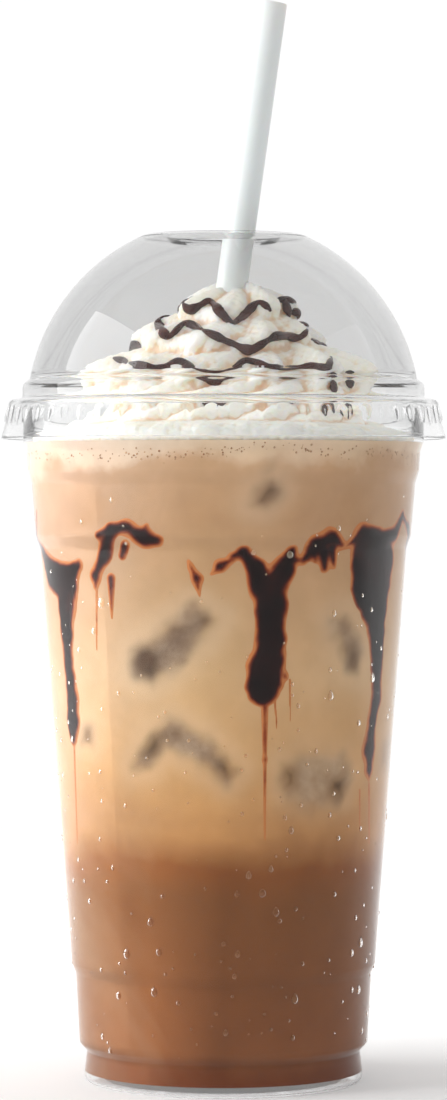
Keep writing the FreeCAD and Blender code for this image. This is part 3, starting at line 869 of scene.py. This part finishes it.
# ------------------------------------------------------------------ whipped cream
def cream_mesh():
    """A star-shaped ribbon wound up in tiers, its ridges twisting as it goes."""
    # turn, centre radius, height, ribbon radius
    keys = np.array([(0.0, 32.0, 158.5, 10.5), (1.0, 29.0, 160.0, 10.0), (1.35, 23.5, 165.5, 9.4), (2.2, 20.5, 168.5, 9.2),
                     (2.6, 15.0, 174.0, 8.4), (3.35, 11.5, 177.6, 7.8), (3.7, 7.0, 181.6, 6.8), (4.2, 3.6, 184.6, 5.4), (4.6, 1.0, 187.6, 3.2), (4.75, 0.3, 190.6, 0.7)])
    t = np.linspace(0, keys[-1, 0], 900)
    rc, zc, ra = (np.interp(t, keys[:, 0], keys[:, i]) for i in (1, 2, 3))
    ker = np.hanning(41); ker /= ker.sum()
    sm = lambda a: np.convolve(np.pad(a, 20, mode="edge"), ker, "valid")
    rc, zc, ra = sm(rc) * 0.97, sm(zc) - 0.5, sm(ra) * 0.80
    ang = -2 * math.pi * t + 2.2
    cx = rc * np.cos(ang) + 1.8 * np.clip((zc - 160) / 30, 0, 1)
    cy = rc * np.sin(ang)
    path = np.stack([cx, cy, zc], 1)
    tan = np.gradient(path, axis=0)
    tan /= np.linalg.norm(tan, axis=1)[:, None]
    rad = np.stack([np.cos(ang), np.sin(ang), np.zeros_like(ang)], 1)
    up = np.cross(tan, rad); up /= np.linalg.norm(up, axis=1)[:, None]
    up *= np.sign(up[:, 2:3])
    rad = np.cross(up, tan); rad /= np.linalg.norm(rad, axis=1)[:, None]
    s = np.concatenate([[0], np.cumsum(np.linalg.norm(np.diff(path, axis=0), axis=1))])
    NP, NF = 120, 4
    verts, faces = [], []
    for i in range(len(t)):
        tw = s[i] * 0.13
        lump = 1 + 0.05 * math.sin(s[i] * 0.21) + 0.03 * math.sin(s[i] * 0.53 + 1)
        for j in range(NP):
            ph = 2 * math.pi * j / NP
            w = abs(math.cos((ph + tw) * NF / 2 + 0.25 * math.sin(s[i] * 0.3)))
            fl = 1.08 - 0.52 * (1 - w ** 0.55)
            r = ra[i] * fl * lump
            verts.append(path[i] + rad[i] * r * math.cos(ph) + up[i] * r * math.sin(ph) * 0.92)
    for i in range(len(t) - 1):
        for j in range(NP):
            k = (j + 1) % NP
            faces.append((i * NP + j, i * NP + k, (i + 1) * NP + k, (i + 1) * NP + j))
    faces.append(tuple(range(NP))[::-1])
    faces.append(tuple((len(t) - 1) * NP + j for j in range(NP)))
    # filling under the ribbon: a low mound reaching almost to the wall
    base = len(verts)
    prof = [(0, 152.3), (45.2, 152.3), (45.6, 153.6), (44.4, 155.6), (41.5, 157.6), (35, 159.5), (22, 165), (12, 173), (6, 181), (0, 183)]
    S = 240
    ring = []
    for r, z in prof:
        if r == 0:
            ring.append([len(verts)] * S); verts.append(np.array((0, 0, z))); continue
        ids = []
        for i in range(S):
            th = 2 * math.pi * i / S
            rr = r + (0.5 * math.sin(th * 17 + z) + 0.4 * math.sin(th * 29)) * (1 if 40 < r < 45 else 0)
            ids.append(len(verts)); verts.append(np.array((rr * math.cos(th), rr * math.sin(th), z)))
        ring.append(ids)
    for a, b in zip(ring, ring[1:]):
        for i in range(S):
            k = (i + 1) % S
            f = []
            for v in (a[i], a[k], b[k], b[i]):
                if v not in f:
                    f.append(v)
            if len(f) > 2:
                faces.append(tuple(f))
    def closed(rows):
        b, ns = len(verts), len(rows[0])
        for row in rows:
            verts.extend(row)
        for j in range(len(rows) - 1):
            for i in range(ns):
                k = (i + 1) % ns
                faces.append((b + j * ns + i, b + j * ns + k, b + (j + 1) * ns + k, b + (j + 1) * ns + i))
        faces.append(tuple(b + i for i in range(ns))[::-1])
        faces.append(tuple(b + (len(rows) - 1) * ns + i for i in range(ns)))
    # crown of petals: centre x, y, foot z, top z, radius, petals, phase
    for X0, Y0, zf, zt, rad_, np_, ph_ in ((2.6, 0.0, 174.5, 191.2, 14.4, 7, 0.35), (0.8, 0.0, 165.0, 185.6, 22.8, 9, 0.1), (1.4, 0.0, 154.5, 178.6, 34.6, 12, 0.6)):
        rows = []
        for j in range(25):
            q = j / 24
            out_ = math.sin(min(1.0, q / 0.62) * math.pi / 2) if q < 0.62 else 1 - 0.75 * ((q - 0.62) / 0.38) ** 1.7
            row = []
            for i in range(360):
                th = 2 * math.pi * i / 360
                lean = 1.5 * q / math.sqrt(np_ / 7)
                c = abs(math.cos((th + ph_ - lean * 0.42) * np_ / 2 + 0.22 * math.sin(th * 2 + 1)))
                crest = c ** 0.6
                size = 1 + 0.06 * math.sin(th * 3 + ph_ * 5)
                fine = abs(math.cos((th + ph_ - lean * 0.42) * np_ * 1.5 + 0.4)) ** 0.7
                fold = (0.64 + 0.36 * crest) * (0.945 + 0.075 * fine)
                r = rad_ * size * fold * (0.74 + 0.26 * out_) if q < 0.62 else rad_ * size * fold * out_
                z = zf + (zt - zf) * q * (0.82 + 0.18 * crest * (0.65 + 0.35 * math.sin(th * 2.0 + 2.2)))
                row.append(np.array((X0 + r * math.cos(th), Y0 + r * math.sin(th), z)))
            rows.append(row)
        closed(rows)
    ob = new_mesh("cream_swirl", verts, faces, mat=cream_material())
    md = ob.modifiers.new("r", "REMESH")
    md.mode = "VOXEL"
    md.voxel_size = 0.00056
    md.use_smooth_shade = True
    sm_ = ob.modifiers.new("s", "SMOOTH"); sm_.factor = 0.5; sm_.iterations = 2
    dg = bpy.context.evaluated_depsgraph_get()
    me = bpy.data.meshes.new_from_object(ob.evaluated_get(dg))
    ob.modifiers.clear()
    old = ob.data
    ob.data = me
    bpy.data.meshes.remove(old)
    n = len(me.vertices)
    co = np.zeros(n * 3); me.vertices.foreach_get("co", co); co = co.reshape(-1, 3) / MM
    nr = np.zeros(n * 3); me.vertices.foreach_get("normal", nr); nr = nr.reshape(-1, 3)
    w = 1.6 * (np.sin(co[:, 0] * 1.9 + co[:, 2] * 1.3) * np.sin(co[:, 1] * 2.1 + 1) + np.sin(co[:, 0] * 3.7 - co[:, 1] * 3.1) * np.sin(co[:, 2] * 3.3)) * 0.10
    co += nr * w[:, None]
    rr = np.hypot(co[:, 0], co[:, 1])
    lim = np.where(co[:, 2] < 163, 45.9, np.sqrt(np.maximum(1, (DOME_R - LID_WALL - 0.4) ** 2 - (co[:, 2] - DOME_Z) ** 2)))
    f = np.minimum(1, lim / np.maximum(rr, 1e-6))
    co[:, 0] *= f; co[:, 1] *= f
    me.vertices.foreach_set("co", (co * MM).ravel())
    me.update()
    # how deep each point lies in a fold, for the painted shade there: darker and warmer deep in the folds
    ed = np.zeros(len(me.edges) * 2, dtype=np.int64)
    me.edges.foreach_get("vertices", ed)
    ed = ed.reshape(-1, 2)
    src, dst = np.concatenate([ed[:, 0], ed[:, 1]]), np.concatenate([ed[:, 1], ed[:, 0]])
    deg = np.maximum(np.bincount(src, minlength=n), 1)
    mean = co.copy()
    for _ in range(14):
        mean = np.stack([np.bincount(src, weights=mean[dst, i], minlength=n) / deg for i in range(3)], 1)
    fold = np.clip(((mean - co) * nr).sum(1) / 0.30 - 0.05, 0, 1)
    at = me.attributes.new("fold", "FLOAT", "POINT")
    at.data.foreach_set("value", (fold * 0.8).astype(np.float32))
    if not me.materials:
        me.materials.append(bpy.data.materials["whipped_cream"])
    return ob


cream = cream_mesh()
adopt(cream, "whipped_cream", "whipped_cream")

# ------------------------------------------------------------------ chocolate sauce on the cream
cm = cream.data
bvh = BVHTree.FromPolygons([v.co.copy() for v in cm.vertices], [tuple(p.vertices) for p in cm.polygons])


def cast(origin, target):
    o = Vector(origin) * MM
    d = (Vector(target) * MM - o).normalized()
    hit = bvh.ray_cast(o, d)
    return None if hit[0] is None else (np.array(hit[0]) / MM, np.array(hit[1]))


def sauce_line(points, from_front=True, width=1.02):
    """Lays a bead of sauce along points on the cream, sampled every 0.6 mm."""
    pts = []
    for a, b in zip(points, points[1:]):
        n = max(2, int(math.dist(a, b) / 0.5))
        pts += [tuple(a[i] + (b[i] - a[i]) * k / n for i in range(len(a))) for k in range(n)]
    pts.append(tuple(points[-1]))
    P = np.array(pts)
    if len(P) > 11:
        kr = np.hanning(9)[1:-1]; kr /= kr.sum()
        for i in range(P.shape[1]):
            P[:, i] = np.convolve(np.pad(P[:, i], 3, mode="reflect", reflect_type="odd"), kr, "valid")
    hits = []
    for p in P:
        if from_front:
            h = cast(CAM, (p[0], 0.0, p[1]))
        else:
            h = cast((60 * math.sin(p[0]), -60 * math.cos(p[0]), p[1] + 18), (0, 0, p[1] - 4))
        hits.append(h)
    run, runs = [], []
    for h in hits:
        if h is None or (run and np.linalg.norm(h[0] - run[-1][0]) > 9):
            if len(run) > 3:
                runs.append(run)
            run = []
        if h is not None:
            run.append(h)
    if len(run) > 3:
        runs.append(run)
    V_, F_ = [], []
    for run in runs:
        C = np.array([h[0] for h in run]); N_ = np.array([h[1] for h in run])
        for _ in range(6):
            C[1:-1] = (C[:-2] + 2 * C[1:-1] + C[2:]) / 4
            N_[1:-1] = (N_[:-2] + 2 * N_[1:-1] + N_[2:]) / 4
        N_ /= np.linalg.norm(N_, axis=1)[:, None]
        T_ = np.gradient(C, axis=0); T_ /= np.linalg.norm(T_, axis=1)[:, None] + 1e-9
        S_ = np.cross(T_, N_); S_ /= np.linalg.norm(S_, axis=1)[:, None] + 1e-9
        b0 = len(V_)
        K = 12
        n = len(C)
        for i in range(n):
            w = width * (1 + 0.22 * math.sin(i * 0.33) + 0.12 * math.sin(i * 0.81 + 2)) * min(1.0, 0.35 + i / 4, 0.35 + (n - 1 - i) / 4)
            for k in range(K):
                a = 2 * math.pi * k / K
                V_.append(C[i] + S_[i] * w * math.cos(a) + N_[i] * (w * 0.62 * math.sin(a) + 0.12))
        for i in range(n - 1):
            for k in range(K):
                k2 = (k + 1) % K
                F_.append((b0 + i * K + k, b0 + i * K + k2, b0 + (i + 1) * K + k2, b0 + (i + 1) * K + k))
        F_.append(tuple(b0 + k for k in range(K))[::-1])
        F_.append(tuple(b0 + (n - 1) * K + k for k in range(K)))
    return V_, F_


SV, SF = [], []


def add_sauce(v, f):
    b = len(SV)
    SV.extend(v)
    SF.extend([tuple(i + b for i in q) for q in f])


for s in DRIZZLE:
    add_sauce(*sauce_line(s, True))
for zc_, amp, n_, ph in ((186.0, 2.2, 5, 0.4), (179.0, 2.6, 6, 1.3), (170.5, 2.4, 8, 2.2)):
    pts = []
    for k in range(90):
        th = math.radians(78 + k * (204 / 89))
        saw = abs(((th * n_ / math.pi + ph) % 2) - 1) * 2 - 1
        pts.append((th, zc_ + amp * saw))
    V2, F2 = sauce_line(pts, False)
    add_sauce(V2, F2)
sauce = new_mesh("chocolate_sauce", SV, SF, mat=sauce_material())
adopt(sauce, "whipped_cream")

# ------------------------------------------------------------------ water drops outside, bubbles inside
def ico(level):
    import bmesh
    bm = bmesh.new()
    bmesh.ops.create_icosphere(bm, subdivisions=level, radius=1.0)
    v = np.array([x.co[:] for x in bm.verts]); f = [tuple(y.index for y in x.verts) for x in bm.faces]
    bm.free()
    return v, f


OUT_Z = outer[np.argmax(outer[:, 0] > 33):]
OUT_Z = OUT_Z[np.argsort(OUT_Z[:, 1])]
out_r = lambda z: np.interp(z, OUT_Z[:, 1], OUT_Z[:, 0])
iv, if_ = ico(3)
DV, DF = [], []


def drop(th, z, size, tall=1.15, tail=0.0, sink=0.35):
    R = float(out_r(z))
    b = len(DV)
    n = np.array([math.sin(th), -math.cos(th), 0.0]); t = np.array([math.cos(th), math.sin(th), 0.0]); u = np.array([0, 0, 1.0])
    for p in iv:
        k = 1 - 0.45 * tail * max(0.0, p[2])
        zz = p[2] * size * (tall + tail * max(0.0, p[2]))
        DV.append(n * (R - size * sink * 0.2 + max(-0.12, p[1] * size * 0.34 * k)) + t * p[0] * size * k + u * (z + zz))
    DF.extend([tuple(i + b for i in f) for f in if_])


g = np.random.default_rng(11)
placed = []
for x, z, s in BIG_DROPS:
    r = float(out_r(z)); t = (974 - math.sqrt(r * r - x * x)) / 974
    th = math.asin(max(-.99, min(.99, x * t / r))); z2 = 138.3 + (z - 138.3) * t
    drop(th, z2, s, 1.2, 0.5); placed.append((th * UR, z2, s))
tries = 0
while len(placed) < 520 and tries < 16000:
    tries += 1
    th, z = g.uniform(-math.pi, math.pi), 9 + 134 * g.beta(1.25, 1.5)
    s = float(np.clip(g.lognormal(-1.12, 0.5), 0.16, 0.95))
    if any(abs(z - q[1]) < s + q[2] + 0.6 and abs(th * UR - q[0]) < s + q[2] + 0.6 for q in placed):
        continue
    drop(th, z, s, g.uniform(0.95, 1.3), g.uniform(0, 0.5) if s > 0.45 else 0.0)
    placed.append((th * UR, z, s))
drops = new_mesh("water_drops", DV, DF, mat=water_material())
adopt(drops, "cup")

bv, bf = ico(1)
BV, BF = [], []
for _ in range(420):
    th = g.uniform(-math.pi, math.pi)
    z = min(151.9, 149.7 + 0.9 * math.sin(3 * th + 0.6) + 0.5 * math.sin(8 * th) + g.normal(0, 0.75))
    s = g.uniform(0.1, 0.3)
    R = float(wall_r(z)) + INTO_WALL
    b = len(BV)
    n = np.array([math.sin(th), -math.cos(th), 0.0])
    for p in bv:
        q = p * s
        BV.append(n * (R + 0.02 + max(-0.2, min(0.12, q[1]))) + np.array([math.cos(th), math.sin(th), 0]) * q[0] + np.array([0, 0, z + q[2]]))
    BF.extend([tuple(i + b for i in f) for f in bf])
adopt(new_mesh("foam_bubbles", BV, BF, mat=bubble_material()), "milk_foam")


# ------------------------------------------------------------------ stage
def plain(name, col, rough=0.9):
    m = M(name)
    m.link(m.ramp(m.noise(3, 2, 0.5), [(0.3, tuple(c * 0.99 for c in col[:3]) + (1,)), (0.7, col)]), m.bsdf.inputs["Base Color"])
    # painted light: the floor glows, not at all just in front of the cup, rising to full strength behind it, and again
    # a little far out in front
    m.set(Roughness=rough, Specular_IOR_Level=0.0, Emission_Strength=0.80)
    sp_ = m.n("ShaderNodeSeparateXYZ"); m.link(m.pos(), sp_.inputs[0])
    far = m.ramp(m.math("ADD", m.math("MULTIPLY", sp_.outputs[1], 2.2), 0.35, clamp=True), [(0.0, (0, 0, 0, 1)), (0.30, (0.22, 0.22, 0.22, 1)), (0.70, (0.62, 0.62, 0.62, 1)), (1.0, (1, 1, 1, 1))])
    ahead = m.ramp(m.math("SUBTRACT", m.math("MULTIPLY", sp_.outputs[1], -0.8), 1.35, clamp=True), [(0.0, (0, 0, 0, 1)), (1.0, (0.5, 0.5, 0.5, 1))])
    m.link(m.mix(1.0, far, ahead, "ADD"), m.bsdf.inputs["Emission Color"])
    # away from the cup the floor runs into the white of the surroundings
    lp = m.n("ShaderNodeLightPath")
    reach = m.n("ShaderNodeVectorMath", operation="LENGTH")
    m.link(m.pos(), reach.inputs[0])
    rim = m.ramp(m.math("DIVIDE", reach.outputs["Value"], 1.0, clamp=True), [(0.22, (0, 0, 0, 1)), (0.75, (1, 1, 1, 1))], "EASE")
    white = m.n("ShaderNodeEmission")
    white.inputs["Color"].default_value, white.inputs["Strength"].default_value = (1, 1, 1, 1), 1.02
    both = m.n("ShaderNodeMixShader")
    m.link(m.math("MULTIPLY", m.math("MAXIMUM", lp.outputs["Is Camera Ray"], lp.outputs["Is Transmission Ray"]), rim), both.inputs[0])
    m.link(m.bsdf.outputs[0], both.inputs[1])
    m.link(white.outputs[0], both.inputs[2])
    m.link(both.outputs[0], m.out.inputs[0])
    return m.mat


fv, ff, NR = [(0.0, 0.0, 0.0)], [], 96
for r_ in (150.0, 400.0, 900.0, 2000.0, 4500.0, 9000.0):
    for i in range(NR):
        fv.append((r_ * math.cos(2 * math.pi * i / NR), r_ * math.sin(2 * math.pi * i / NR), 0.0))
for i in range(NR):
    ff.append((0, 1 + i, 1 + (i + 1) % NR))
    for j in range(5):
        p_, q_ = 1 + j * NR, 1 + (j + 1) * NR
        ff.append((p_ + i, q_ + i, q_ + (i + 1) % NR, p_ + (i + 1) % NR))
floor = new_mesh("floor", fv, ff, mat=plain("floor_pale", (0.86, 0.86, 0.86, 1)))

world = bpy.data.worlds.new("studio"); bpy.context.scene.world = world
world.use_nodes = True
wt = world.node_tree
bg = wt.nodes["Background"]
tc = wt.nodes.new("ShaderNodeTexCoord"); sp = wt.nodes.new("ShaderNodeSeparateXYZ"); rp = wt.nodes.new("ShaderNodeValToRGB")
mr = wt.nodes.new("ShaderNodeMapRange")
mr.inputs["From Min"].default_value, mr.inputs["From Max"].default_value = -1.0, 1.0
wt.links.new(tc.outputs["Generated"], sp.inputs[0]); wt.links.new(sp.outputs[1], mr.inputs[0]); wt.links.new(mr.outputs[0], rp.inputs[0])
e = rp.color_ramp.elements
e[0].position, e[0].color = 0.0, (0.44, 0.44, 0.44, 1)
e[1].position, e[1].color = 1.0, (1, 1, 1, 1)
for q, c in ((0.50, 0.34), (0.75, 0.42), (0.90, 0.80), (0.95, 1.0)):
    n_ = e.new(q); n_.color = (c, c, c, 1)
wt.links.new(rp.outputs[0], bg.inputs[0])
bg.inputs[1].default_value = 1.02
# what is seen directly or through clear plastic is plain white from every side
lp_ = wt.nodes.new("ShaderNodeLightPath"); mx_ = wt.nodes.new("ShaderNodeMath"); mx_.operation = "MAXIMUM"
plain_ = wt.nodes.new("ShaderNodeBackground"); plain_.inputs[0].default_value = (1, 1, 1, 1); plain_.inputs[1].default_value = 1.02
ws_ = wt.nodes.new("ShaderNodeMixShader")
wt.links.new(lp_.outputs["Is Camera Ray"], mx_.inputs[0]); wt.links.new(lp_.outputs["Is Transmission Ray"], mx_.inputs[1])
wt.links.new(mx_.outputs[0], ws_.inputs[0]); wt.links.new(bg.outputs[0], ws_.inputs[1]); wt.links.new(plain_.outputs[0], ws_.inputs[2])
wt.links.new(ws_.outputs[0], wt.nodes["World Output"].inputs[0])


def panel(name, loc, look, w, h, power):
    la = bpy.data.lights.new(name, "AREA")
    la.shape, la.size, la.size_y, la.energy = "RECTANGLE", w, h, power
    ob = bpy.data.objects.new(name, la)
    bpy.context.scene.collection.objects.link(ob)
    ob.location = loc
    ob.rotation_euler = (Vector(look) - Vector(loc)).to_track_quat("-Z", "Y").to_euler()
    ob.visible_camera = False
    ob.visible_transmission = False
    return ob


panel("soft_left", (-0.94, -0.12, 0.50), (0, 0, 0.14), 0.95, 0.8, 10.2)
panel("soft_right", (0.95, -0.12, 0.45), (0, 0, 0.14), 0.8, 0.7, 1.25)
panel("soft_front_high", (-0.1, -1.0, 1.25), (0, 0, 0.1), 1.0, 0.7, 1.6)
panel("soft_front_left", (-1.15, -0.75, 0.50), (0, 0, 0.12), 0.4, 0.8, 3.1)

cam = bpy.data.cameras.new("camera")
cam.sensor_width, cam.lens = 36.0, 133.2
cam.clip_start, cam.clip_end = 0.05, 50
co_ = bpy.data.objects.new("camera", cam)
bpy.context.scene.collection.objects.link(co_)
co_.location = (0, -0.974, 0.1383)
co_.rotation_euler = (math.radians(90 - 0.676), 0, 0)
bpy.context.scene.camera = co_
bpy.context.scene.view_settings.view_transform = "Standard"
